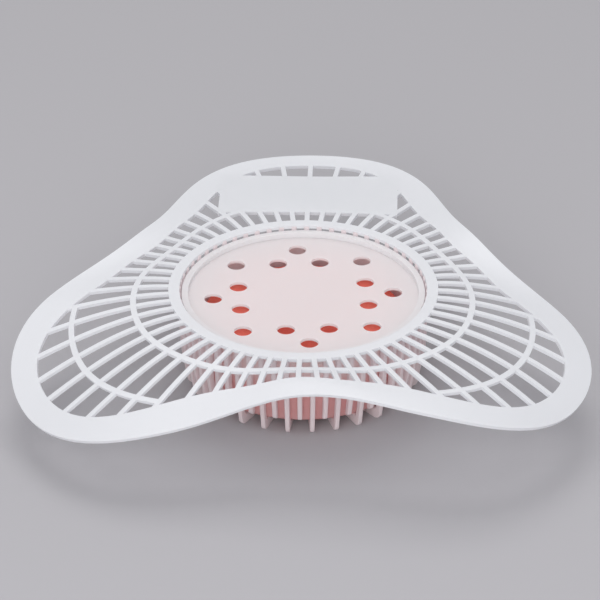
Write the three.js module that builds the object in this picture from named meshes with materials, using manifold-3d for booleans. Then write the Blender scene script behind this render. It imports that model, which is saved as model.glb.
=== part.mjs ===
// Urinal deodorizer screen: a flexible three-lobed grille with a basket hanging under its collar,
// a thin cup standing on the basket's feet with a deodorant block in it, and a perforated lid in
// the basket's mouth.
// Millimetres, +Z up. The origin is on the basket's axis, in the plane of the feet, and the back
// lobe points along +Y.

import * as THREE from 'three';
import { mergeVertices } from 'three/addons/utils/BufferGeometryUtils.js';
import Module from 'manifold-3d';

const wasm = await Module();
wasm.setup();

const DEGREE = Math.PI / 180;

// Heights and wall of the screen
const basketDepth = 33;
const sheetThickness = 1.2;

// Lid, which sets the width of all that lies round it
const lidRadius = 40.6;
const lidClearance = 0.3;
const lidSeatGap = 0.2;
const lidFloorDepth = 3.1;
const lidFloorThickness = 1;
const lidLipDepth = 1.4;
const lidLipWidth = 2.1;
const lidEdgeRounding = 0.4;
const lidTurn = 5.4 * DEGREE;
const lidHoleDiameter = 6;
const lidHolePitch = 14.2;
const lidHoleCircle = 30.1;
const lidFacets = 60;
const lidHoleFacets = 16;

// Collar, the flat ring round the basket's mouth
const collarGap = 0.7;
const collarWidth = 3.7;
const collarInner = lidRadius + collarGap;
const collarOuter = collarInner + collarWidth;

// Ribs, one on the axis of every lobe and every valley
const ribCount = 60;
const ribWidth = 1.7;
const backLobeAngle = 90 * DEGREE;

// Outlines: size on a lobe's axis, size in a valley, and the three terms that shape the flanks.
// The rim's reach is measured from the collar.
const rimReach = { tip: 57.3, valley: 21.6, shoulder: -0.25, crown: -0.96, corner: -0.06 };
const rimWidth = { tip: 8, valley: 8.4, shoulder: -3.15, crown: -0.4, corner: 0.8 };

// Cross rings: how far their centre lines stand off the collar and off the rim
const innerRingWidth = 2;
const innerRingStandoff = { tip: 13.3, valley: 6.7, shoulder: -0.46, crown: 0.16, corner: 0 };
const lobeRingWidth = 1.9;
const lobeRingStandoff = { tip: 13.7, valley: -6.2, shoulder: 3.4, crown: -0.57, corner: -0.84 };
const lobeRingCells = 8;
const lobeRingLobes = [120, 240];

// Bend of the soft sheet, which hangs by its own weight and unequally in the three lobes: its
// height over the collar half way out and at the rim, at turns in degrees from the back lobe
const sheetBend = [
  { turn: 0, halfway: -3.2, rim: -6.3 },
  { turn: 30, halfway: -1.7, rim: -4.7 },
  { turn: 60, halfway: -1.2, rim: 0.2 },
  { turn: 90, halfway: -1.5, rim: -4.8 },
  { turn: 120, halfway: -5.9, rim: -19.4 },
  { turn: 150, halfway: -3.2, rim: -10.5 },
  { turn: 180, halfway: 1.3, rim: -0.1 },
  { turn: 210, halfway: -0.1, rim: -2.1 },
  { turn: 240, halfway: -3.3, rim: -15.1 },
  { turn: 270, halfway: -2.5, rim: -7.5 },
  { turn: 300, halfway: -0.4, rim: 1.3 },
  { turn: 330, halfway: -1.5, rim: -3.5 },
];

// Bare plate across the back lobe
const plateWidth = 62;
const plateDepth = 33.5;
const plateInnerEdge = collarOuter + 5.9;
const plateOuterEdge = plateInnerEdge + plateDepth;
const plateProud = 0.1;
const plateColumns = 8;
const plateRows = 4;

// Basket bars, alternately a short one and a long one that turns in under the block
const barWidthTop = 1.8;
const barWidthFoot = 1.5;
const barTopDrop = 0.4;
const barRimWall = 1;
const barKneeInset = 0.6;
const barFootInset = 2.3;
const barKneeDepth = 20;
const barWall = 2.3;
const heelRadius = 2.6;
const footHeight = 3.5;
const footFillet = 1.4;
const shortBarLength = 27.3;
const shortBarRounding = 0.9;
const hubRadius = 14;
const hubRecess = 0.5;
const hubOverlap = 0.8;
const barCurveSteps = 2;

// Radius of a bar's outer side at the collar, at the knee and at the foot
const barOuterTop = lidRadius + lidClearance + barRimWall;
const barOuterKnee = barOuterTop - barKneeInset;
const barOuterFoot = barOuterTop - barFootInset;

// Cup, which fills the basket and stands on its feet
const cupBarGap = 0.5;
const cupLidGap = 0.3;
const cupSeatGap = 0.2;
const cupWall = 0.9;
const cupCorner = 2.2;
const cupCornerSteps = 3;
const cupDrainCount = 6;
const cupDrainDiameter = 6;
const cupDrainCircle = 20;
const cupFacets = 48;
const cupDrainFacets = 12;

// Deodorant block
const blockSideGap = 1.8;
const blockHeight = 17;
const blockChamfer = 1.2;
const blockSeatGap = 0.2;
const blockFacets = 48;

// A closed geometry with shared corners becomes a solid that can be joined and cut
function solidOf(geometry) {
  const bare = geometry.clone();
  for (const name of Object.keys(bare.attributes)) {
    if (name !== 'position') bare.deleteAttribute(name);
  }
  const merged = mergeVertices(bare, 1e-4);
  const vertProperties = new Float32Array(merged.attributes.position.array);
  const corners = merged.index.array;
  const kept = [];
  for (let i = 0; i < corners.length; i += 3) {
    const [a, b, c] = [corners[i], corners[i + 1], corners[i + 2]];
    if (a !== b && b !== c && c !== a) kept.push(a, b, c);
  }
  const triVerts = new Uint32Array(kept);
  return new wasm.Manifold(new wasm.Mesh({ numProp: 3, vertProperties, triVerts }));
}

function geometryOf(solid) {
  const mesh = solid.getMesh();
  const geometry = new THREE.BufferGeometry();
  geometry.setAttribute('position', new THREE.BufferAttribute(new Float32Array(mesh.vertProperties), 3));
  geometry.setIndex(new THREE.BufferAttribute(new Uint32Array(mesh.triVerts), 1));
  const loose = geometry.toNonIndexed();
  loose.computeVertexNormals();
  return loose;
}

// A size that swings between its value on a lobe and in a valley three times round
function lobed(form, angle) {
  const turn = 3 * (angle - backLobeAngle);
  const middle = (form.tip + form.valley) / 2;
  const swing = (form.tip - form.valley) / 2;
  return middle + swing * Math.cos(turn)
    + form.shoulder * (Math.cos(2 * turn) - 1)
    + form.crown * (Math.cos(3 * turn) - Math.cos(turn))
    + form.corner * (Math.cos(4 * turn) - 1);
}

const rimOuterAt = (angle) => collarOuter + lobed(rimReach, angle);
const rimInnerAt = (angle) => rimOuterAt(angle) - lobed(rimWidth, angle);
const innerRingAt = (angle) => collarOuter + lobed(innerRingStandoff, angle);
const lobeRingAt = (angle) => rimInnerAt(angle) - lobed(lobeRingStandoff, angle);

// One column of the bend list at any angle, on a smooth curve through its values
function bendAt(angle, name) {
  const count = sheetBend.length;
  const place = (angle - backLobeAngle) / (2 * Math.PI) * count;
  const index = Math.floor(place);
  const value = (offset) => sheetBend[(((index + offset) % count) + count) % count][name];
  const slopeHere = (value(1) - value(-1)) / 2;
  const slopeNext = (value(2) - value(0)) / 2;
  const t = place - index;
  const rise = value(1) - value(0);
  return value(0) + slopeHere * t + (3 * rise - 2 * slopeHere - slopeNext) * t ** 2
    + (slopeHere + slopeNext - 2 * rise) * t ** 3;
}

// Height of the sheet's top face: level over the collar, then bending down or up to the rim
function sheetTop(x, y) {
  const radius = Math.hypot(x, y);
  const angle = Math.atan2(y, x);
  const share = Math.max(0, (radius - collarOuter) / (rimOuterAt(angle) - collarOuter));
  const halfway = bendAt(angle, 'halfway');
  const rim = bendAt(angle, 'rim');
  return basketDepth + (8 * halfway - rim) * share ** 2 + (2 * rim - 8 * halfway) * share ** 3;
}

// The grille is a net of columns round the axis and rows out from it. Every mesh of the net is
// either sheet or open, and open meshes leave walls round them.
function grilleGeometry() {
  const columns = [];
  const pitch = 2 * Math.PI / ribCount;
  for (let rib = 0; rib < ribCount; rib += 1) {
    const angle = backLobeAngle + rib * pitch;
    columns.push({ angle, offset: -ribWidth / 2, rib: true });
    columns.push({ angle, offset: ribWidth / 2, rib: false, cell: rib });
    columns.push({ angle: angle + pitch / 2, offset: 0, rib: false, cell: rib });
  }
  const between = (a, b) => (angle) => (a(angle) + b(angle)) / 2;
  const innerRingIn = (angle) => innerRingAt(angle) - innerRingWidth / 2;
  const innerRingOut = (angle) => innerRingAt(angle) + innerRingWidth / 2;
  const lobeRingIn = (angle) => {
    const last = rimInnerAt(angle) - lobeRingWidth;
    return Math.min(lobeRingAt(angle) - lobeRingWidth / 2, last);
  };
  const lobeRingOut = (angle) => {
    const last = rimInnerAt(angle) - lobeRingWidth / 2;
    return Math.min(lobeRingAt(angle) + lobeRingWidth / 2, last);
  };
  const rows = [
    { radius: () => collarInner, sheet: 'all' },
    { radius: () => collarOuter, sheet: 'ribs' },
    { radius: innerRingIn, sheet: 'all' },
    { radius: innerRingOut, sheet: 'ribs' },
    { radius: between(innerRingOut, lobeRingIn), sheet: 'ribs' },
    { radius: lobeRingIn, sheet: 'lobes' },
    { radius: lobeRingOut, sheet: 'ribs' },
    { radius: rimInnerAt, sheet: 'all' },
    { radius: rimOuterAt, sheet: 'none' },
  ];
  const halfSpan = (lobeRingCells / 2) * pitch / DEGREE;
  const inLobeRing = (cell) => {
    const turn = (cell + 0.5) * pitch / DEGREE;
    return lobeRingLobes.some((axis) => Math.abs(turn - axis) < halfSpan);
  };
  const isSheet = (column, row) => {
    if (row < 0 || row >= rows.length - 1) return false;
    if (columns[column].rib || rows[row].sheet === 'all') return true;
    return rows[row].sheet === 'lobes' && inLobeRing(columns[column].cell);
  };

  // Corner of the net, found where the column's line meets the row's outline
  const corner = (column, row, drop) => {
    const { angle, offset } = columns[column];
    let bearing = angle;
    let radius = rows[row].radius(bearing);
    for (let pass = 0; pass < 6; pass += 1) {
      bearing = angle + Math.asin(offset / radius);
      radius = rows[row].radius(bearing);
    }
    const x = radius * Math.cos(bearing);
    const y = radius * Math.sin(bearing);
    return [x, y, sheetTop(x, y) - drop];
  };
  const positions = [];
  const quad = (a, b, c, d) => positions.push(...a, ...b, ...c, ...a, ...c, ...d);
  const count = columns.length;
  for (let column = 0; column < count; column += 1) {
    const next = (column + 1) % count;
    const previous = (column + count - 1) % count;
    for (let row = 0; row < rows.length - 1; row += 1) {
      if (!isSheet(column, row)) continue;
      const top = [corner(column, row, 0), corner(column, row + 1, 0),
        corner(next, row + 1, 0), corner(next, row, 0)];
      const bottom = [corner(column, row, sheetThickness), corner(column, row + 1, sheetThickness),
        corner(next, row + 1, sheetThickness), corner(next, row, sheetThickness)];
      quad(top[0], top[1], top[2], top[3]);
      quad(bottom[3], bottom[2], bottom[1], bottom[0]);
      if (!isSheet(previous, row)) quad(bottom[0], bottom[1], top[1], top[0]);
      if (!isSheet(next, row)) quad(bottom[2], bottom[3], top[3], top[2]);
      if (!isSheet(column, row - 1)) quad(bottom[3], bottom[0], top[0], top[3]);
      if (!isSheet(column, row + 1)) quad(bottom[1], bottom[2], top[2], top[1]);
    }
  }
  const geometry = new THREE.BufferGeometry();
  geometry.setAttribute('position', new THREE.Float32BufferAttribute(positions, 3));
  return mergeVertices(geometry, 1e-4);
}

// The plate follows the droop of the sheet and stands a hair proud of the ribs that it covers
function plateGeometry() {
  const depth = plateOuterEdge - plateInnerEdge;
  const geometry = new THREE.BoxGeometry(plateWidth, depth, 1, plateColumns, plateRows, 1);
  geometry.translate(0, (plateOuterEdge + plateInnerEdge) / 2, 0);
  const point = geometry.attributes.position;
  for (let i = 0; i < point.count; i += 1) {
    const top = sheetTop(point.getX(i), point.getY(i));
    const upper = point.getZ(i) > 0;
    point.setZ(i, upper ? top + plateProud : top - sheetThickness - plateProud);
  }
  return geometry;
}

// A bar is its side outline given a width, which narrows from the collar to the feet
function barSolid(outline, angle) {
  const thick = 1;
  const settings = { depth: thick, bevelEnabled: false, curveSegments: barCurveSteps };
  const geometry = new THREE.ExtrudeGeometry(outline, settings);
  geometry.translate(0, 0, -thick / 2);
  geometry.rotateX(Math.PI / 2);
  const point = geometry.attributes.position;
  for (let i = 0; i < point.count; i += 1) {
    const share = point.getZ(i) / basketDepth;
    const width = barWidthFoot + (barWidthTop - barWidthFoot) * share;
    point.setY(i, point.getY(i) * width / thick);
  }
  geometry.rotateZ(angle);
  return solidOf(geometry);
}

// Outer and inner side of a bar at a height over the feet
const kneeHeight = basketDepth - barKneeDepth;
const barTopHeight = basketDepth - barTopDrop;

function barOuterAt(height) {
  if (height > kneeHeight) {
    const share = (height - kneeHeight) / (basketDepth - kneeHeight);
    return barOuterKnee + (barOuterTop - barOuterKnee) * share;
  }
  const share = Math.max(0, (height - heelRadius) / (kneeHeight - heelRadius));
  return barOuterFoot + (barOuterKnee - barOuterFoot) * share;
}

const barInnerAt = (height) => barOuterAt(height) - barWall;

// The upper end of both kinds of bar joins the collar and carries the lid on a shoulder
function startBar() {
  const seatRadius = lidRadius + lidClearance;
  const seatHeight = basketDepth - lidFloorDepth - lidFloorThickness - lidSeatGap;
  const outline = new THREE.Shape();
  outline.moveTo(seatRadius, barTopHeight);
  outline.lineTo(seatRadius, seatHeight);
  outline.lineTo(barInnerAt(seatHeight), seatHeight);
  outline.lineTo(barInnerAt(kneeHeight), kneeHeight);
  return outline;
}

function finishBar(outline) {
  outline.lineTo(barOuterAt(kneeHeight), kneeHeight);
  outline.lineTo(barOuterAt(barTopHeight), barTopHeight);
  outline.closePath();
  return outline;
}

// Long bar: down to the floor, round the heel and in along the foot to the hub
function longBarOutline() {
  const outline = startBar();
  const filletTop = footHeight + footFillet;
  const inner = barInnerAt(filletTop);
  outline.lineTo(inner, filletTop);
  outline.absarc(inner - footFillet, filletTop, footFillet, 0, -Math.PI / 2, true);
  outline.lineTo(hubRadius - hubOverlap, footHeight);
  outline.lineTo(hubRadius - hubOverlap, 0);
  outline.lineTo(barOuterFoot - heelRadius, 0);
  outline.absarc(barOuterFoot - heelRadius, heelRadius, heelRadius, -Math.PI / 2, 0, false);
  return finishBar(outline);
}

// Short bar: ends free beside the block with rounded corners
function shortBarOutline() {
  const outline = startBar();
  const end = basketDepth - shortBarLength;
  const roundingTop = end + shortBarRounding;
  const inner = barInnerAt(end);
  const outer = barOuterAt(roundingTop);
  outline.lineTo(inner, roundingTop);
  outline.lineTo(inner + shortBarRounding / 2, end);
  outline.lineTo(outer - shortBarRounding, end);
  outline.lineTo(outer, roundingTop);
  return finishBar(outline);
}

function screenSolid() {
  let screen = solidOf(grilleGeometry()).add(solidOf(plateGeometry()));
  const longBar = longBarOutline();
  const shortBar = shortBarOutline();
  for (let rib = 0; rib < ribCount; rib += 1) {
    const angle = backLobeAngle + rib * 2 * Math.PI / ribCount;
    screen = screen.add(barSolid(rib % 2 === 0 ? shortBar : longBar, angle));
  }
  const hubHeight = footHeight - hubRecess;
  const hub = new THREE.CylinderGeometry(hubRadius, hubRadius, hubHeight, ribCount);
  hub.rotateX(Math.PI / 2);
  hub.translate(0, 0, hubHeight / 2);
  return screen.add(solidOf(hub));
}

// A round solid from its half section, given from the bottom of the axis round to its top
function revolved(section, facets) {
  const points = section.map(([radius, height]) => new THREE.Vector2(radius, height));
  const geometry = new THREE.LatheGeometry(points, facets);
  geometry.rotateX(Math.PI / 2);
  return geometry;
}

// Lid: a thin sunk floor inside a raised lip, with a square of holes and one outside each side
function lidSolid() {
  const floorTop = lidFloorThickness;
  const lipTop = lidFloorThickness + lidFloorDepth - lidLipDepth;
  const floorRadius = lidRadius - lidLipWidth;
  const rounding = lidEdgeRounding;
  let lid = solidOf(revolved([
    [0, 0],
    [lidRadius, 0],
    [lidRadius, lipTop - rounding],
    [lidRadius - rounding, lipTop],
    [floorRadius + 2 * rounding, lipTop],
    [floorRadius + rounding, lipTop - rounding],
    [floorRadius, floorTop],
    [0, floorTop],
  ], lidFacets));
  const places = [];
  for (const side of [-1, 1]) {
    for (const step of [-1.5, -0.5, 0.5, 1.5]) {
      places.push([step * lidHolePitch, side * 1.5 * lidHolePitch]);
    }
    for (const step of [-0.5, 0.5]) {
      places.push([side * 1.5 * lidHolePitch, step * lidHolePitch]);
    }
    places.push([0, side * lidHoleCircle]);
    places.push([side * lidHoleCircle, 0]);
  }
  for (const [x, y] of places) {
    const radius = lidHoleDiameter / 2;
    const drill = new THREE.CylinderGeometry(radius, radius, 3 * lidFloorThickness, lidHoleFacets);
    drill.rotateX(Math.PI / 2);
    drill.translate(x, y, lidFloorThickness / 2);
    lid = lid.subtract(solidOf(drill));
  }
  return lid;
}

// Cup: its wall follows the inner side of the bars and turns into the floor round a soft corner
const cupBottom = footHeight + cupSeatGap;
const cupTop = basketDepth - lidFloorDepth - lidFloorThickness - cupLidGap;
const cupOuterAt = (height) => barInnerAt(height) - cupBarGap;

function cupSolid() {
  const cornerHeight = cupBottom + cupCorner;
  const cornerRadius = cupOuterAt(cornerHeight) - cupCorner;
  const cornerArc = (radius) => {
    const points = [];
    for (let step = 0; step <= cupCornerSteps; step += 1) {
      const turn = (step / cupCornerSteps - 1) * Math.PI / 2;
      points.push([cornerRadius + radius * Math.cos(turn), cornerHeight + radius * Math.sin(turn)]);
    }
    return points;
  };
  let cup = solidOf(revolved([
    [0, cupBottom],
    ...cornerArc(cupCorner),
    [cupOuterAt(kneeHeight), kneeHeight],
    [cupOuterAt(cupTop), cupTop],
    [cupOuterAt(cupTop) - cupWall, cupTop],
    [cupOuterAt(kneeHeight) - cupWall, kneeHeight],
    ...cornerArc(cupCorner - cupWall).reverse(),
    [0, cupBottom + cupWall],
  ], cupFacets));
  for (let drain = 0; drain < cupDrainCount; drain += 1) {
    const turn = drain / cupDrainCount * 2 * Math.PI;
    const radius = cupDrainDiameter / 2;
    const drill = new THREE.CylinderGeometry(radius, radius, 3 * cupWall, cupDrainFacets);
    drill.rotateX(Math.PI / 2);
    drill.translate(cupDrainCircle * Math.cos(turn), cupDrainCircle * Math.sin(turn), cupBottom);
    cup = cup.subtract(solidOf(drill));
  }
  return cup;
}

// Block: a plain moulded disc with a chamfer round both faces, clear of the cup's wall
const blockBottom = cupBottom + cupWall + blockSeatGap;
const blockRadius = cupOuterAt(cupBottom) - cupWall - blockSideGap;

function blockGeometry() {
  return revolved([
    [0, 0],
    [blockRadius - blockChamfer, 0],
    [blockRadius, blockChamfer],
    [blockRadius, blockHeight - blockChamfer],
    [blockRadius - blockChamfer, blockHeight],
    [0, blockHeight],
  ], blockFacets);
}

function piece(name, solid, look) {
  const mesh = new THREE.Mesh(geometryOf(solid), new THREE.MeshStandardMaterial(look));
  mesh.name = name;
  return mesh;
}

const white = { color: 0xeef0f3, roughness: 0.45, metalness: 0 };
const milky = { color: 0xefe4e5, roughness: 0.35, metalness: 0 };
const red = { color: 0xd9453f, roughness: 0.7, metalness: 0 };

const screen = piece('screen', screenSolid(), white);

const lid = piece('lid', lidSolid(), milky);
lid.position.z = basketDepth - lidFloorDepth - lidFloorThickness;
lid.rotation.z = lidTurn;

const cup = piece('cup', cupSolid(), milky);

const block = piece('deodorant_block', solidOf(blockGeometry()), red);
block.position.z = blockBottom;

const group = new THREE.Group();
group.add(screen, lid, cup, block);
export default group;
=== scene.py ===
import math

import bpy
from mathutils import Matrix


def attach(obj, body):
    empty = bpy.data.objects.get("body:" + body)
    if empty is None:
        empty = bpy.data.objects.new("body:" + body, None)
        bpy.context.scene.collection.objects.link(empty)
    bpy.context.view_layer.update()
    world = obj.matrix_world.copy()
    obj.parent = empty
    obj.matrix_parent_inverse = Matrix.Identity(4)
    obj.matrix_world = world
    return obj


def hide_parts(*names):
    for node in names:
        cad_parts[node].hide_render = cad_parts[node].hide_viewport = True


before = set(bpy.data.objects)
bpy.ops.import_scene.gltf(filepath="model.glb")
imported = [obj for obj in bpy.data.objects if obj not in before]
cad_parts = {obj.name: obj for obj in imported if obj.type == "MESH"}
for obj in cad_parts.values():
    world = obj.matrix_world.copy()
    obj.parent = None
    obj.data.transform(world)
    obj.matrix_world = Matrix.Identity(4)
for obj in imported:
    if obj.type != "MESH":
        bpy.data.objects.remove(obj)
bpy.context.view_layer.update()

# Grille: the sheet of the screen, a soft white injection moulding 1.2 mm thick that hangs by its
# own weight. A flat grid stands for its ribs and rings, its open meshes are deleted, and it is
# wrapped round the basket's axis, bent, thickened and rounded at its edges.
MM = 0.001
BASKET_DEPTH = 33
SHEET_THICKNESS = 1.2
COLLAR_INNER = 41.3
COLLAR_OUTER = 45
RIB_COUNT = 60
RIB_WIDTH = 1.7
BACK_LOBE = math.pi / 2
RIM_REACH = (57.3, 21.6, -0.25, -0.96, -0.06)
RIM_WIDTH = (8, 8.4, -3.15, -0.4, 0.8)
INNER_RING_STANDOFF = (13.3, 6.7, -0.46, 0.16, 0)
INNER_RING_WIDTH = 2
LOBE_RING_STANDOFF = (13.7, -6.2, 3.4, -0.57, -0.84)
LOBE_RING_WIDTH = 1.9
LOBE_RING_AXES = (120, 240)
LOBE_RING_HALF_SPAN = 24
SHEET_ROUNDING = 0.4
# Fall of the sheet below the collar every 30 degrees from the back lobe, halfway out and at the rim
BEND_HALFWAY = (-3.2, -1.7, -1.2, -1.5, -5.9, -3.2, 1.3, -0.1, -3.3, -2.5, -0.4, -1.5)
BEND_RIM = (-6.3, -4.7, 0.2, -4.8, -19.4, -10.5, -0.1, -2.1, -15.1, -7.5, 1.3, -3.5)


def lobed(form, turn):
    """Distance at a turn from the back lobe, alike in all three lobes."""
    tip, valley, shoulder, crown, corner = form
    swing = 3 * turn
    return (
        (tip + valley) / 2
        + (tip - valley) / 2 * math.cos(swing)
        + shoulder * (math.cos(2 * swing) - 1)
        + crown * (math.cos(3 * swing) - math.cos(swing))
        + corner * (math.cos(4 * swing) - 1)
    )


def rim_outer(turn):
    return COLLAR_OUTER + lobed(RIM_REACH, turn)


def rim_inner(turn):
    return rim_outer(turn) - lobed(RIM_WIDTH, turn)


def inner_ring(turn):
    return COLLAR_OUTER + lobed(INNER_RING_STANDOFF, turn)


def lobe_ring(turn):
    centre = rim_inner(turn) - lobed(LOBE_RING_STANDOFF, turn)
    return min(centre, rim_inner(turn) - 1.5 * LOBE_RING_WIDTH / 2)


def bend_at(values, turn):
    count = len(values)
    place = turn / (2 * math.pi) * count
    index = math.floor(place)
    t = place - index
    before, here, after, beyond = (values[(index + k) % count] for k in (-1, 0, 1, 2))
    slope_here = (after - before) / 2
    slope_after = (beyond - here) / 2
    rise = after - here
    return (
        here
        + slope_here * t
        + (3 * rise - 2 * slope_here - slope_after) * t**2
        + (slope_here + slope_after - 2 * rise) * t**3
    )


def sheet_top(x, y):
    """Height of the sheet's top face, level at the collar and bent further out."""
    turn = math.atan2(y, x) - BACK_LOBE
    reach = rim_outer(turn) - COLLAR_OUTER
    share = max(0, (math.hypot(x, y) - COLLAR_OUTER) / reach)
    halfway = bend_at(BEND_HALFWAY, turn)
    rim = bend_at(BEND_RIM, turn)
    return BASKET_DEPTH + (8 * halfway - rim) * share**2 + (2 * rim - 8 * halfway) * share**3


def deselect():
    if bpy.context.object and bpy.context.object.mode != "OBJECT":
        bpy.ops.object.mode_set(mode="OBJECT")
    bpy.ops.object.select_all(action="DESELECT")


def edit(piece):
    deselect()
    piece.select_set(True)
    bpy.context.view_layer.objects.active = piece
    bpy.ops.object.mode_set(mode="EDIT")
    bpy.ops.mesh.select_mode(type="FACE")
    bpy.ops.mesh.select_all(action="SELECT")


def apply_modifier(piece, kind, **settings):
    deselect()
    piece.select_set(True)
    bpy.context.view_layer.objects.active = piece
    modifier = piece.modifiers.new(kind.title(), kind)
    for name, value in settings.items():
        setattr(modifier, name, value)
    bpy.ops.object.modifier_apply(modifier=modifier.name)


def round_edges(piece, width, segments, angle=40):
    """Rounds the sharp edges and keeps the flat faces between them flat in the light."""
    apply_modifier(
        piece,
        "BEVEL",
        width=width,
        segments=segments,
        limit_method="ANGLE",
        angle_limit=math.radians(angle),
        miter_outer="MITER_ARC",
    )
    piece.select_set(True)
    bpy.ops.object.shade_smooth_by_angle(angle=math.radians(50))
    apply_modifier(piece, "WEIGHTED_NORMAL", keep_sharp=True)


# Rows of the net from the rim inwards: outline, how far to the next row it is cut up, and what
# of the band up to the next row is sheet
RIM_BANDS = [
    (rim_outer, 3, "all"),
    (rim_inner, 4, "ribs"),
    (lambda turn: lobe_ring(turn) + LOBE_RING_WIDTH / 2, 1, "lobes"),
    (lambda turn: lobe_ring(turn) - LOBE_RING_WIDTH / 2, 6, "ribs"),
    (lambda turn: inner_ring(turn) + INNER_RING_WIDTH / 2, 1, "all"),
    (lambda turn: inner_ring(turn) - INNER_RING_WIDTH / 2, 3, "ribs"),
    (lambda turn: COLLAR_OUTER, 2, "all"),
    (lambda turn: COLLAR_INNER, 0, "none"),
]
net_rows = []
for (outline, steps, sheet), following in zip(RIM_BANDS, RIM_BANDS[1:]):
    for step in range(steps):
        net_rows.append((outline, following[0], step / steps, sheet))
net_rows.append((RIM_BANDS[-1][0], RIM_BANDS[-1][0], 0, "none"))

COLUMNS_PER_RIB = 4
SIDE_STEPS = 6
columns = RIB_COUNT * COLUMNS_PER_RIB
bands = len(net_rows) - 1
pitch = 2 * math.pi / RIB_COUNT


def net_place(column, row):
    """Place of a point of the net. The sides of a rib stay parallel out to the rim."""
    rib, part = divmod(column, COLUMNS_PER_RIB)
    outline, following, share, _ = net_rows[row]
    offset = (-RIB_WIDTH / 2, RIB_WIDTH / 2, 0, 0)[part]
    axis = rib * pitch + max(0, part - 1) * pitch / 3
    turn = axis
    for _ in range(SIDE_STEPS):
        radius = outline(turn) + (following(turn) - outline(turn)) * share
        turn = axis + math.asin(offset / radius)
    x = radius * math.cos(turn + BACK_LOBE)
    y = radius * math.sin(turn + BACK_LOBE)
    return x * MM, y * MM, sheet_top(x, y) * MM


deselect()
bpy.ops.mesh.primitive_grid_add(x_subdivisions=columns, y_subdivisions=bands, size=2)
grille = bpy.context.object
grille.name = "screen_grille"


def net_index(point):
    return (point.x + 1) / 2 * columns, (point.y + 1) / 2 * bands


edit(grille)
bpy.ops.mesh.select_all(action="DESELECT")
bpy.ops.object.mode_set(mode="OBJECT")
for face in grille.data.polygons:
    column, row = (math.floor(place) for place in net_index(face.center))
    rib, part = divmod(column, COLUMNS_PER_RIB)
    sheet = net_rows[row][3]
    middle = math.degrees((rib + 0.5) * pitch)
    in_lobe = any(abs(middle - axis) < LOBE_RING_HALF_SPAN for axis in LOBE_RING_AXES)
    face.select = not (part == 0 or sheet == "all" or (sheet == "lobes" and in_lobe))
bpy.ops.object.mode_set(mode="EDIT")
bpy.ops.mesh.delete(type="FACE")
bpy.ops.object.mode_set(mode="OBJECT")
for vertex in grille.data.vertices:
    column, row = (round(place) for place in net_index(vertex.co))
    vertex.co = net_place(column % columns, row)
edit(grille)
bpy.ops.mesh.remove_doubles(threshold=0.00001)
bpy.ops.object.mode_set(mode="OBJECT")
apply_modifier(grille, "SOLIDIFY", thickness=SHEET_THICKNESS * MM, offset=-1)
round_edges(grille, SHEET_ROUNDING * MM, 2)


def plastic(name, dark, pale, sheens, through):
    """Moulded plastic with faint flow marks, a fine grain and some light passing through it."""
    material = bpy.data.materials.new(name)
    material.use_nodes = True
    nodes, links = material.node_tree.nodes, material.node_tree.links
    shader = nodes["Principled BSDF"]
    shader.inputs["IOR"].default_value = 1.46
    place = nodes.new("ShaderNodeTexCoord")
    flow = nodes.new("ShaderNodeTexNoise")
    flow.inputs["Scale"].default_value = 30
    flow.inputs["Detail"].default_value = 4
    tint = nodes.new("ShaderNodeValToRGB")
    tint.color_ramp.elements[0].color = (*dark, 1)
    tint.color_ramp.elements[1].color = (*pale, 1)
    sheen = nodes.new("ShaderNodeMapRange")
    sheen.inputs["To Min"].default_value = sheens[0]
    sheen.inputs["To Max"].default_value = sheens[1]
    grain = nodes.new("ShaderNodeTexNoise")
    grain.inputs["Scale"].default_value = 1800
    grain.inputs["Detail"].default_value = 2
    bump = nodes.new("ShaderNodeBump")
    bump.inputs["Strength"].default_value = 0.1
    bump.inputs["Distance"].default_value = 0.0001
    glow = nodes.new("ShaderNodeBsdfTranslucent")
    mix = nodes.new("ShaderNodeMixShader")
    mix.inputs["Fac"].default_value = through
    links.new(place.outputs["Object"], flow.inputs["Vector"])
    links.new(place.outputs["Object"], grain.inputs["Vector"])
    links.new(flow.outputs["Fac"], tint.inputs["Fac"])
    links.new(flow.outputs["Fac"], sheen.inputs["Value"])
    links.new(grain.outputs["Fac"], bump.inputs["Height"])
    links.new(tint.outputs["Color"], shader.inputs["Base Color"])
    links.new(tint.outputs["Color"], glow.inputs["Color"])
    links.new(sheen.outputs["Result"], shader.inputs["Roughness"])
    links.new(bump.outputs["Normal"], shader.inputs["Normal"])
    links.new(shader.outputs["BSDF"], mix.inputs[1])
    links.new(glow.outputs["BSDF"], mix.inputs[2])
    links.new(mix.outputs["Shader"], nodes["Material Output"].inputs["Surface"])
    return material


# The screen's plastic: white, slightly bluish, satin
screen_plastic = plastic(
    "soft_white_moulding", (0.905, 0.91, 0.93), (0.925, 0.93, 0.95), (0.36, 0.5), 0.3
)
grille.data.materials.append(screen_plastic)
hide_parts("screen")
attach(grille, "root")

# Plate: the bare panel across the back lobe, moulded with the sheet and flush with its ribs.
# A flat grid is bent to the sheet and thickened.
PLATE_WIDTH = 62
PLATE_STANDOFF = 5.9
PLATE_INNER_EDGE = COLLAR_OUTER + PLATE_STANDOFF
PLATE_DEPTH = 33.5
PLATE_PROUD = 0.02
deselect()
bpy.ops.mesh.primitive_grid_add(x_subdivisions=32, y_subdivisions=18, size=1)
plate = bpy.context.object
plate.name = "back_plate"
for vertex in plate.data.vertices:
    x = vertex.co.x * PLATE_WIDTH
    y = PLATE_INNER_EDGE + (vertex.co.y + 0.5) * PLATE_DEPTH
    vertex.co = (x * MM, y * MM, (sheet_top(x, y) + PLATE_PROUD) * MM)
apply_modifier(plate, "SOLIDIFY", thickness=(SHEET_THICKNESS + 2 * PLATE_PROUD) * MM, offset=-1)
bpy.ops.object.shade_smooth_by_angle(angle=math.radians(50))
plate.data.materials.append(screen_plastic)
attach(plate, "root")

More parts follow.
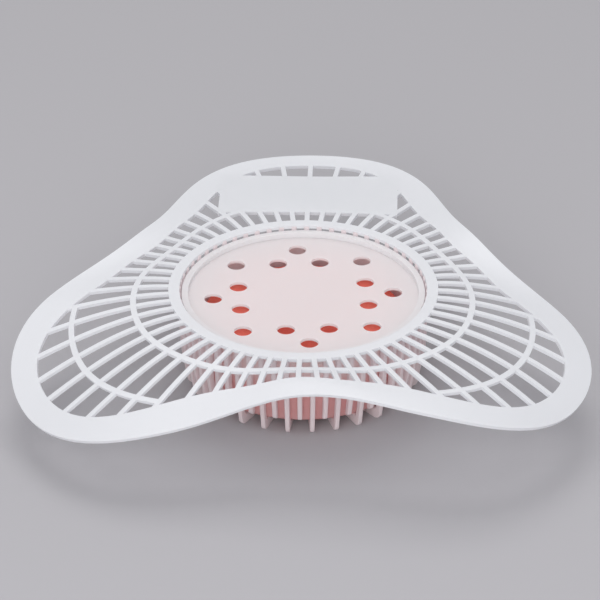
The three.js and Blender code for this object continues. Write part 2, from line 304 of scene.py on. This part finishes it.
# Basket: sixty bars under the collar, moulded with the sheet, alternately a short one that ends
# free and a long one that turns in under the block to the hub. Each kind is drawn once as a
# side outline, given its width, rounded and copied round the axis. Their pink is painted red light
# reflected from the block.
BAR_WIDTH_TOP = 1.8
BAR_WIDTH_FOOT = 1.5
BAR_TOP = BASKET_DEPTH - 0.4
BAR_OUTER_TOP = 41.9
BAR_OUTER_KNEE = 41.3
BAR_OUTER_FOOT = 39.6
BAR_WALL = 2.3
KNEE = 13
SEAT_RADIUS = 40.9
SEAT = 28.7
HEEL = 2.6
FOOT_HEIGHT = 3.5
FOOT_FILLET = 1.4
SHORT_END = 5.7
SHORT_END_CORNER = 0.9
SHORT_END_INNER_CORNER = 0.5
BAR_ROUNDING = 0.35
HUB_RADIUS = 14
HUB_HEIGHT = 3
HUB_RIM = 2
HUB_DISH = 0.5
HUB_ROUNDING = 0.3
FOOT_GRIP = 0.8
# Pink base colour: painted red light reflected from the block onto the white bars and hub
bar_plastic = plastic(
    "painted_red_bounce_moulding", (0.95, 0.85, 0.86), (0.97, 0.89, 0.90), (0.36, 0.5), 0.35
)


def bar_outer(height):
    if height > KNEE:
        share = (height - KNEE) / (BASKET_DEPTH - KNEE)
        return BAR_OUTER_KNEE + (BAR_OUTER_TOP - BAR_OUTER_KNEE) * share
    share = max(0, (height - HEEL) / (KNEE - HEEL))
    return BAR_OUTER_FOOT + (BAR_OUTER_KNEE - BAR_OUTER_FOOT) * share


def arc(x, z, radius, start, end, steps):
    turns = [math.radians(start + (end - start) * step / steps) for step in range(steps + 1)]
    return [(x + radius * math.cos(turn), z + radius * math.sin(turn)) for turn in turns]


def draw_bar(name, outline):
    """One bar on the X axis, extruded from its side outline and narrowed towards its foot."""
    deselect()
    start_x, start_z = outline[0]
    bpy.ops.mesh.primitive_plane_add(size=MM, location=(start_x * MM, 0, start_z * MM))
    bar = bpy.context.object
    bar.name = name
    bpy.ops.object.transform_apply(location=True, rotation=False, scale=False)
    edit(bar)
    bpy.ops.mesh.select_mode(type="VERT")
    bpy.ops.mesh.select_all(action="SELECT")
    bpy.ops.mesh.merge(type="CENTER")
    bpy.ops.mesh.select_all(action="SELECT")
    for (x, z), (next_x, next_z) in zip(outline, outline[1:]):
        step = ((next_x - x) * MM, 0, (next_z - z) * MM)
        bpy.ops.mesh.extrude_vertices_move(TRANSFORM_OT_translate={"value": step})
    bpy.ops.mesh.select_all(action="SELECT")
    bpy.ops.mesh.edge_face_add()
    bpy.ops.mesh.extrude_region_move(TRANSFORM_OT_translate={"value": (0, MM, 0)})
    bpy.ops.mesh.select_all(action="SELECT")
    bpy.ops.mesh.normals_make_consistent(inside=False)
    bpy.ops.object.mode_set(mode="OBJECT")
    for vertex in bar.data.vertices:
        share = vertex.co.z / MM / BASKET_DEPTH
        width = BAR_WIDTH_FOOT + (BAR_WIDTH_TOP - BAR_WIDTH_FOOT) * share
        vertex.co.y = (vertex.co.y - MM / 2) * width
    round_edges(bar, BAR_ROUNDING * MM, 2, 30)
    bar.data.materials.append(bar_plastic)
    return bar


def ring_of(bar, first, step):
    """Half as many copies as there are ribs, turned round the axis and joined."""
    copies = [bar]
    for index in range(1, RIB_COUNT // 2):
        deselect()
        bar.select_set(True)
        bpy.context.view_layer.objects.active = bar
        bpy.ops.object.duplicate()
        copy = bpy.context.object
        copy.rotation_euler.z = BACK_LOBE + first + index * step
        copies.append(copy)
    bar.rotation_euler.z = BACK_LOBE + first
    deselect()
    for copy in copies:
        copy.select_set(True)
    bpy.context.view_layer.objects.active = bar
    bpy.ops.object.transform_apply(location=False, rotation=True, scale=False)
    bpy.ops.object.join()
    return bpy.context.object


seat_inner = bar_outer(SEAT) - BAR_WALL
bar_head = [
    (bar_outer(BAR_TOP), BAR_TOP),
    (SEAT_RADIUS, BAR_TOP),
    (SEAT_RADIUS, SEAT),
    (seat_inner, SEAT),
    (bar_outer(KNEE) - BAR_WALL, KNEE),
]
fillet_top = FOOT_HEIGHT + FOOT_FILLET
long_inner = bar_outer(fillet_top) - BAR_WALL
long_outline = (
    bar_head
    + arc(long_inner - FOOT_FILLET, fillet_top, FOOT_FILLET, 0, -90, 4)
    + [(HUB_RADIUS - FOOT_GRIP, FOOT_HEIGHT), (HUB_RADIUS - FOOT_GRIP, 0)]
    + arc(BAR_OUTER_FOOT - HEEL, HEEL, HEEL, -90, 0, 6)
    + [(bar_outer(KNEE), KNEE)]
)
short_inner = bar_outer(SHORT_END) - BAR_WALL
short_outer = bar_outer(SHORT_END)
short_outline = (
    bar_head
    + [(short_inner, SHORT_END + SHORT_END_CORNER)]
    + [(short_inner + SHORT_END_INNER_CORNER, SHORT_END)]
    + [(short_outer - SHORT_END_CORNER, SHORT_END)]
    + [(short_outer, SHORT_END + SHORT_END_CORNER)]
    + [(bar_outer(KNEE), KNEE)]
)
long_bars = ring_of(draw_bar("long_bars", long_outline), pitch, 2 * pitch)
short_bars = ring_of(draw_bar("short_bars", short_outline), 0, 2 * pitch)

deselect()
bpy.ops.mesh.primitive_cylinder_add(
    vertices=96, radius=HUB_RADIUS * MM, depth=HUB_HEIGHT * MM, location=(0, 0, HUB_HEIGHT / 2 * MM)
)
hub = bpy.context.object
hub.name = "hub"
bpy.ops.object.transform_apply(location=True, rotation=False, scale=False)
edit(hub)
bpy.ops.mesh.select_all(action="DESELECT")
bpy.ops.object.mode_set(mode="OBJECT")
for face in hub.data.polygons:
    face.select = face.normal.z > 0.9
bpy.ops.object.mode_set(mode="EDIT")
bpy.ops.mesh.inset(thickness=HUB_RIM * MM, depth=-HUB_DISH * MM)
bpy.ops.object.mode_set(mode="OBJECT")
round_edges(hub, HUB_ROUNDING * MM, 2)
hub.data.materials.append(bar_plastic)

for piece in (long_bars, short_bars, hub):
    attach(piece, "root")

# Cup: a very thin milky container that fills the basket and stands on its feet. A disc's edge is
# extruded up the corner and the wall, which gets its thickness, six drains and rounded edges.
CUP_BOTTOM = 3.7
CUP_TOP = 28.6
CUP_WALL = 0.9
CUP_CORNER = 2.2
CUP_BAR_GAP = 0.5
CUP_ROUNDING = 0.2
DRAIN_COUNT = 6
DRAIN_RADIUS = 3
DRAIN_CIRCLE = 20
DRILL_LENGTH = 6
# The cup is painted pink as far up as the block stands, a painted glow of the red block seen through
# its wall, and milky above it
PAINTED_PINK_TOP = 15
MILKY_FROM = 23


def cup_outer(height):
    return bar_outer(height) - BAR_WALL - CUP_BAR_GAP


def drill(piece, places, radius, height, sides):
    """Cuts a round hole upright through the piece at each place."""
    drills = []
    for x, y in places:
        deselect()
        bpy.ops.mesh.primitive_cylinder_add(
            vertices=sides,
            radius=radius * MM,
            depth=DRILL_LENGTH * MM,
            location=(x * MM, y * MM, height * MM),
        )
        drills.append(bpy.context.object)
    for single in drills:
        single.select_set(True)
    bpy.ops.object.join()
    joined = bpy.context.object
    apply_modifier(piece, "BOOLEAN", operation="DIFFERENCE", object=joined, solver="EXACT")
    bpy.data.objects.remove(joined)


corner_height = CUP_BOTTOM + CUP_CORNER
corner_centre = cup_outer(corner_height) - CUP_CORNER
profile = arc(corner_centre, corner_height, CUP_CORNER, -90, 0, 6)
profile += [(cup_outer(KNEE), KNEE), (cup_outer(CUP_TOP), CUP_TOP)]
deselect()
bpy.ops.mesh.primitive_circle_add(
    vertices=120, radius=corner_centre * MM, fill_type="NGON", location=(0, 0, CUP_BOTTOM * MM)
)
cup = bpy.context.object
cup.name = "milky_cup"
bpy.ops.object.transform_apply(location=True, rotation=False, scale=False)
edit(cup)
bpy.ops.mesh.select_mode(type="EDGE")
bpy.ops.mesh.select_all(action="SELECT")
for (radius, height), (next_radius, next_height) in zip(profile, profile[1:]):
    rise = (0, 0, (next_height - height) * MM)
    bpy.ops.mesh.extrude_edges_move(TRANSFORM_OT_translate={"value": rise})
    swell = next_radius / radius
    bpy.ops.transform.resize(value=(swell, swell, 1), center_override=(0, 0, next_height * MM))
bpy.ops.mesh.select_all(action="SELECT")
bpy.ops.mesh.normals_make_consistent(inside=False)
bpy.ops.object.mode_set(mode="OBJECT")
apply_modifier(cup, "SOLIDIFY", thickness=CUP_WALL * MM, offset=-1)
drain_places = []
for index in range(DRAIN_COUNT):
    turn = index / DRAIN_COUNT * 2 * math.pi
    drain_places.append((DRAIN_CIRCLE * math.cos(turn), DRAIN_CIRCLE * math.sin(turn)))
drill(cup, drain_places, DRAIN_RADIUS, CUP_BOTTOM, 32)
round_edges(cup, CUP_ROUNDING * MM, 2)
cup_plastic = plastic(
    "thin_milky_moulding", (0.97, 0.70, 0.695), (0.98, 0.94, 0.94), (0.3, 0.42), 0.6
)
nodes, links = cup_plastic.node_tree.nodes, cup_plastic.node_tree.links
place = nodes["Texture Coordinate"]
# Height ramp from pink to milky: painted red glow of the block seen through the wall
split = nodes.new("ShaderNodeSeparateXYZ")
painted_pink_ramp = nodes.new("ShaderNodeMapRange")
painted_pink_ramp.inputs["From Min"].default_value = PAINTED_PINK_TOP * MM
painted_pink_ramp.inputs["From Max"].default_value = MILKY_FROM * MM
links.new(place.outputs["Object"], split.inputs["Vector"])
links.new(split.outputs["Z"], painted_pink_ramp.inputs["Value"])
links.new(painted_pink_ramp.outputs["Result"], nodes["Color Ramp"].inputs["Fac"])
cup.data.materials.append(cup_plastic)
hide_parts("cup")
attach(cup, "root")

# Deodorant block: a moulded red disc that stands loose in the cup. A cylinder's faces are inset
# twice, its edges are rounded, and its skin is slightly uneven and grainy.
BLOCK_RADIUS = 34.28
BLOCK_HEIGHT = 17
BLOCK_FLOOR = 4.8
BLOCK_INSETS = (8, 10)
BLOCK_ROUNDING = 1.2
deselect()
bpy.ops.mesh.primitive_cylinder_add(
    vertices=96,
    radius=BLOCK_RADIUS * MM,
    depth=BLOCK_HEIGHT * MM,
    location=(0, 0, (BLOCK_FLOOR + BLOCK_HEIGHT / 2) * MM),
)
block = bpy.context.object
block.name = "moulded_block"
bpy.ops.object.transform_apply(location=True, rotation=False, scale=False)
edit(block)
bpy.ops.mesh.select_all(action="DESELECT")
bpy.ops.object.mode_set(mode="OBJECT")
for face in block.data.polygons:
    face.select = abs(face.normal.z) > 0.9
bpy.ops.object.mode_set(mode="EDIT")
for inset in BLOCK_INSETS:
    bpy.ops.mesh.inset(thickness=inset * MM, depth=0)
bpy.ops.object.mode_set(mode="OBJECT")
round_edges(block, BLOCK_ROUNDING * MM, 4)

block_skin = bpy.data.materials.new("pressed_red_block")
block_skin.use_nodes = True
nodes, links = block_skin.node_tree.nodes, block_skin.node_tree.links
shader = nodes["Principled BSDF"]
shader.inputs["Subsurface Weight"].default_value = 0.2
shader.inputs["Subsurface Radius"].default_value = (1.0, 0.3, 0.25)
shader.inputs["Subsurface Scale"].default_value = 0.002
place = nodes.new("ShaderNodeTexCoord")
clouds = nodes.new("ShaderNodeTexNoise")
clouds.inputs["Scale"].default_value = 160
clouds.inputs["Detail"].default_value = 6
tint = nodes.new("ShaderNodeValToRGB")
tint.color_ramp.elements[0].position = 0.3
tint.color_ramp.elements[0].color = (0.985, 0.17, 0.12, 1)
tint.color_ramp.elements[1].position = 0.7
tint.color_ramp.elements[1].color = (0.99, 0.22, 0.155, 1)
sheen = nodes.new("ShaderNodeMapRange")
sheen.inputs["To Min"].default_value = 0.55
sheen.inputs["To Max"].default_value = 0.8
pores = nodes.new("ShaderNodeTexVoronoi")
pores.inputs["Scale"].default_value = 900
bump = nodes.new("ShaderNodeBump")
bump.inputs["Strength"].default_value = 0.35
bump.inputs["Distance"].default_value = 0.0004
links.new(place.outputs["Object"], clouds.inputs["Vector"])
links.new(place.outputs["Object"], pores.inputs["Vector"])
links.new(clouds.outputs["Fac"], tint.inputs["Fac"])
links.new(tint.outputs["Color"], shader.inputs["Base Color"])
links.new(clouds.outputs["Fac"], sheen.inputs["Value"])
links.new(sheen.outputs["Result"], shader.inputs["Roughness"])
links.new(pores.outputs["Distance"], bump.inputs["Height"])
links.new(bump.outputs["Normal"], shader.inputs["Normal"])
block.data.materials.append(block_skin)
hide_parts("deodorant_block")
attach(block, "root")

# Lid: a thin milky moulding pressed into the basket's mouth, with a sunk floor inside a raised
# lip. A cylinder's top is inset and pushed down, the sixteen holes are cut, and all its edges
# are rounded.
LID_RADIUS = 40.6
LID_FLOOR = 28.9
LID_FLOOR_THICKNESS = 1
LID_HEIGHT = 2.7
LID_LIP_WIDTH = 2.1
LID_LIP_DRAFT = 0.01
LID_ROUNDING = 0.25
LID_TURN = math.radians(5.4)
HOLE_RADIUS = 3
HOLE_PITCH = 14.2
HOLE_CIRCLE = 30.1
deselect()
bpy.ops.mesh.primitive_cylinder_add(
    vertices=120,
    radius=LID_RADIUS * MM,
    depth=LID_HEIGHT * MM,
    location=(0, 0, (LID_FLOOR + LID_HEIGHT / 2) * MM),
)
lid = bpy.context.object
lid.name = "perforated_lid"
bpy.ops.object.transform_apply(location=True, rotation=False, scale=False)
edit(lid)
bpy.ops.mesh.select_all(action="DESELECT")
bpy.ops.object.mode_set(mode="OBJECT")
for face in lid.data.polygons:
    face.select = face.normal.z > 0.9
bpy.ops.object.mode_set(mode="EDIT")
bpy.ops.mesh.inset(thickness=LID_LIP_WIDTH * MM, depth=0)
lip_depth = LID_HEIGHT - LID_FLOOR_THICKNESS
bpy.ops.mesh.inset(thickness=LID_LIP_DRAFT * MM, depth=-lip_depth * MM)
bpy.ops.object.mode_set(mode="OBJECT")

hole_places = []
for side in (-1, 1):
    hole_places += [(step * HOLE_PITCH, side * 1.5 * HOLE_PITCH) for step in (-1.5, -0.5, 0.5, 1.5)]
    hole_places += [(side * 1.5 * HOLE_PITCH, step * HOLE_PITCH) for step in (-0.5, 0.5)]
    hole_places += [(0, side * HOLE_CIRCLE), (side * HOLE_CIRCLE, 0)]
turned_places = []
for x, y in hole_places:
    turned_x = x * math.cos(LID_TURN) - y * math.sin(LID_TURN)
    turned_y = x * math.sin(LID_TURN) + y * math.cos(LID_TURN)
    turned_places.append((turned_x, turned_y))
drill(lid, turned_places, HOLE_RADIUS, LID_FLOOR, 40)
round_edges(lid, LID_ROUNDING * MM, 2)

lid_plastic = plastic(
    "milky_moulding", (0.975, 0.96, 0.965), (0.985, 0.975, 0.98), (0.3, 0.42), 0.45
)
lid.data.materials.append(lid_plastic)
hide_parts("lid")
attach(lid, "root")

# Floor: a plain grey studio sheet under the part, with painted shade making it a little darker
# towards the back
FLOOR_SIZE = 12
FLOOR_BACK = 0.3
FLOOR_FRONT = -0.15
deselect()
bpy.ops.mesh.primitive_plane_add(size=FLOOR_SIZE)
floor = bpy.context.object
floor.name = "studio_floor"
floor_paint = bpy.data.materials.new("grey_paper")
floor_paint.use_nodes = True
nodes, links = floor_paint.node_tree.nodes, floor_paint.node_tree.links
shader = nodes["Principled BSDF"]
shader.inputs["Roughness"].default_value = 0.9
shader.inputs["Specular IOR Level"].default_value = 0.2
place = nodes.new("ShaderNodeTexCoord")
split = nodes.new("ShaderNodeSeparateXYZ")
# Darker towards the back: painted falloff of the light
depth = nodes.new("ShaderNodeMapRange")
depth.inputs["From Min"].default_value = FLOOR_BACK
depth.inputs["From Max"].default_value = FLOOR_FRONT
tint = nodes.new("ShaderNodeValToRGB")
tint.color_ramp.elements[0].color = (0.418, 0.407, 0.422, 1)
tint.color_ramp.elements[1].color = (0.486, 0.474, 0.493, 1)
links.new(place.outputs["Object"], split.inputs["Vector"])
links.new(split.outputs["Y"], depth.inputs["Value"])
links.new(depth.outputs["Result"], tint.inputs["Fac"])
links.new(tint.outputs["Color"], shader.inputs["Base Color"])
floor.data.materials.append(floor_paint)

# Light: a pale room, a soft lamp high up behind the part, whose shadow falls towards the camera,
# and a wide one low in front of it
world = bpy.data.worlds.new("studio")
bpy.context.scene.world = world
world.use_nodes = True
world.node_tree.nodes["Background"].inputs["Color"].default_value = (0.96, 0.97, 1.0, 1)
world.node_tree.nodes["Background"].inputs["Strength"].default_value = 0.655


def softbox(name, azimuth, height, distance, size, energy):
    """A square lamp that faces the part, with its angles in degrees from the front and the floor."""
    azimuth, height = math.radians(azimuth), math.radians(height)
    level = distance * math.cos(height)
    lamp_data = bpy.data.lights.new(name, "AREA")
    lamp_data.shape = "SQUARE"
    lamp_data.size = size
    lamp_data.energy = energy
    lamp = bpy.data.objects.new(name, lamp_data)
    bpy.context.scene.collection.objects.link(lamp)
    lamp.location = (
        level * math.sin(azimuth),
        -level * math.cos(azimuth),
        distance * math.sin(height),
    )
    lamp.rotation_euler = (math.pi / 2 - height, 0, azimuth)


softbox("back_softbox", 186, 60, 1.2, 0.7, 4.3)
softbox("front_softbox", -5, 24, 1.6, 1.2, 11.5)

# Camera: from the front and above, at the photograph's angle and distance
ELEVATION = math.radians(30.94)
YAW = math.radians(1.59)
DISTANCE = 1.2667
LENS = 228
SENSOR_WIDTH = 36
IMAGE_PIXELS = 600
SHIFT_X_PIXELS = -3.26
SHIFT_Y_PIXELS = -12.54
camera_data = bpy.data.cameras.new("camera")
camera = bpy.data.objects.new("camera", camera_data)
bpy.context.scene.collection.objects.link(camera)
camera_data.sensor_width = SENSOR_WIDTH
camera_data.lens = LENS
camera_data.shift_x = SHIFT_X_PIXELS / IMAGE_PIXELS
camera_data.shift_y = SHIFT_Y_PIXELS / IMAGE_PIXELS
reach = DISTANCE * math.cos(ELEVATION)
camera.location = (
    reach * math.sin(YAW),
    -reach * math.cos(YAW),
    BASKET_DEPTH * MM + DISTANCE * math.sin(ELEVATION),
)
camera.rotation_euler = (math.pi / 2 - ELEVATION, 0, YAW)
bpy.context.scene.camera = camera
bpy.context.scene.view_settings.view_transform = "Standard"
